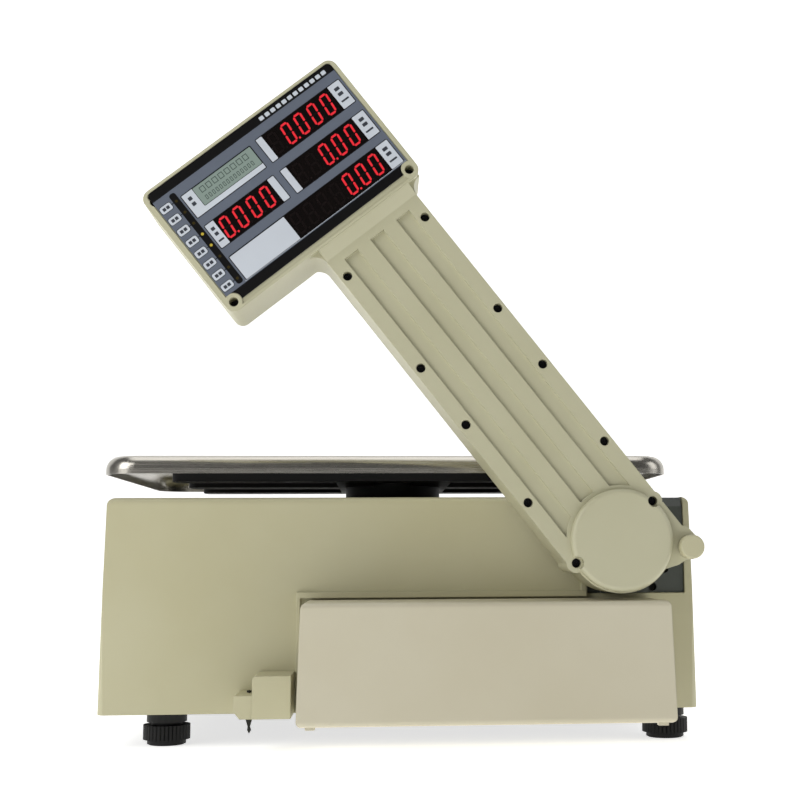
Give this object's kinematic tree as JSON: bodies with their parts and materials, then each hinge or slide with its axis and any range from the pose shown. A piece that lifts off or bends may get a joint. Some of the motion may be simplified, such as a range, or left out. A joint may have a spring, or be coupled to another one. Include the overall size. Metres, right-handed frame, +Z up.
{
  "type": "label printing scale",
  "caption": "Retail weighing scale with a drafted body, stainless platter, side label printer and a two-sided display head on a folding mast",
  "frame": {"origin": "on the table under the centre of the bounding box", "axes": "+X to the right as the customer sees the scale, +Y from the customer to the operator, +Z up"},
  "size_m": [0.3886, 0.467, 0.4296],
  "materials": {
    "case_abs": "moulded, fine satin grain",
    "mast_abs": "moulded, fine satin grain",
    "cover_abs": "moulded, fine satin grain",
    "black_steel": "black powder coat",
    "slate_casting": "slate grey paint over a casting",
    "stainless": "satin brushed",
    "black_casting": "black powder coat",
    "black_rubber": "matte",
    "black_plastic": "moulded",
    "dark_plastic": "moulded",
    "membrane": "printed film",
    "circuit_board": "solder mask",
    "zinc_steel": "zinc plated sheet",
    "aluminium": "milled",
    "vial": "clear with tinted spirit",
    "turned_steel": "turned",
    "fibre": "pressed fibre",
    "bronze": "sintered",
    "black_screws": "black oxide",
    "cable_jacket": "flat ribbon jacket",
    "overlay_film": "printed film",
    "red_windows": "red segment modules",
    "lcd_glass": "grey-green liquid crystal",
    "label_paper": "coated",
    "liner_paper": "glassine",
    "nylon": "moulded",
    "lead_wire": "dark coated wire"
  },
  "bodies": {
    "base": {"case_shell": "case_abs", "base_plate": "black_steel", "keypad_bezel": "dark_plastic", "keypad_membrane": "membrane", "keypad_board": "circuit_board", "main_board": "circuit_board", "power_supply": "zinc_steel", "power_inlet": "black_plastic", "data_ports": "zinc_steel", "load_cell": "aluminium", "load_cell_foot": "aluminium", "load_cell_head": "aluminium", "level_vial": "vial", "hinge_bracket": "slate_casting", "hinge_blocks": "slate_casting", "hinge_shaft": "turned_steel", "friction_washer": "fibre", "printer_frame": "zinc_steel", "print_motor": "dark_plastic", "label_web": "label_paper", "label_sensor": "black_plastic", "cover_hinge_pin": "turned_steel", "calibration_hood": "case_abs", "seal_wire": "lead_wire"},
    "foot_front_left": {"foot_front_left": "black_plastic"},
    "foot_front_right": {"foot_front_right": "black_plastic"},
    "foot_back_left": {"foot_back_left": "black_plastic"},
    "foot_back_right": {"foot_back_right": "black_plastic"},
    "platter": {"platter": "stainless", "platter_spider": "black_casting", "spider_pads": "black_rubber"},
    "mast": {"mast_front_shell": "mast_abs", "mast_rear_shell": "mast_abs", "mast_bush": "bronze", "hub_cap": "case_abs", "mast_screws": "black_screws", "mast_cable": "cable_jacket", "lock_spring": "turned_steel", "customer_overlay": "overlay_film", "customer_board": "circuit_board", "customer_digits": "red_windows", "customer_lcd": "lcd_glass", "operator_overlay": "overlay_film", "operator_board": "circuit_board", "operator_digits": "red_windows", "operator_lcd": "lcd_glass"},
    "lock": {"lock_knob": "case_abs"},
    "cover": {"printer_cover": "cover_abs"},
    "latch": {"latch_button": "cover_abs"},
    "platen": {"platen_roller": "black_rubber", "platen_gear": "nylon"},
    "pinion": {"motor_pinion": "bronze"},
    "supply": {"label_roll": "label_paper", "roll_hub": "dark_plastic"},
    "rewind": {"rewind_spool": "liner_paper"},
    "head": {"print_head": "dark_plastic", "head_pin": "turned_steel"},
    "rocker": {"power_switch": "black_plastic"}
  },
  "joints": [
    {"name": "mast_swing", "type": "hinge", "parent": "base", "child": "mast", "pos_m": [0.1342, -0.2005, 0.1292], "axis": [0, -1, 0], "range_deg": [-38.4, 51.6]},
    {"name": "lock_pull", "type": "slide", "parent": "mast", "child": "lock", "axis": [0, -1, 0], "range_m": [0, 0.0035], "stiffness_N_per_m": 900, "springref_m": -0.002},
    {"name": "platter_lift", "type": "slide", "parent": "base", "child": "platter", "axis": [0, 0, 1], "range_m": [0, 0.06]},
    {"name": "cover_swing", "type": "hinge", "parent": "base", "child": "cover", "pos_m": [0.1585, -0.174, 0.0553], "axis": [0, 0, 1], "range_deg": [0, 88]},
    {"name": "latch_press", "type": "slide", "parent": "cover", "child": "latch", "axis": [0, 0, 1], "range_m": [0, 0.0015], "stiffness_N_per_m": 400, "springref_m": -0.001},
    {"name": "platen_spin", "type": "hinge", "parent": "base", "child": "platen", "pos_m": [-0.038, -0.195, 0.048], "axis": [0, 1, 0], "continuous": true},
    {"name": "pinion_spin", "type": "hinge", "parent": "base", "child": "pinion", "pos_m": [-0.023, -0.195, 0.048], "axis": [0, 1, 0], "continuous": true},
    {"name": "supply_spin", "type": "hinge", "parent": "base", "child": "supply", "pos_m": [0.1149, -0.195, 0.0555], "axis": [0, 1, 0], "continuous": true},
    {"name": "rewind_spin", "type": "hinge", "parent": "base", "child": "rewind", "pos_m": [0.0443, -0.195, 0.05], "axis": [0, 1, 0], "continuous": true},
    {"name": "head_lift", "type": "hinge", "parent": "base", "child": "head", "pos_m": [0, -0.195, 0.072], "axis": [0, 1, 0], "range_deg": [0, 20]},
    {"name": "rocker_tilt", "type": "hinge", "parent": "base", "child": "rocker", "pos_m": [0.18399, 0.1215, 0.0552], "axis": [0, -1, 0], "range_deg": [0, 16]},
    {"name": "foot_front_left_turn", "type": "hinge", "parent": "base", "child": "foot_front_left", "pos_m": [-0.152, -0.1415, 0.0106], "axis": [0, 0, 1], "continuous": true},
    {"name": "foot_front_right_turn", "type": "hinge", "parent": "base", "child": "foot_front_right", "pos_m": [0.1755, -0.1415, 0.0106], "axis": [0, 0, 1], "continuous": true},
    {"name": "foot_back_left_turn", "type": "hinge", "parent": "base", "child": "foot_back_left", "pos_m": [-0.152, 0.2035, 0.0106], "axis": [0, 0, 1], "continuous": true},
    {"name": "foot_back_right_turn", "type": "hinge", "parent": "base", "child": "foot_back_right", "pos_m": [0.1755, 0.2035, 0.0106], "axis": [0, 0, 1], "continuous": true}
  ],
  "couplings": [
    {"joint": "pinion_spin", "follows": "platen_spin", "ratio": -2},
    {"joint": "supply_spin", "follows": "platen_spin", "ratio": 0.27586},
    {"joint": "rewind_spin", "follows": "platen_spin", "ratio": 0.47059}
  ]
}
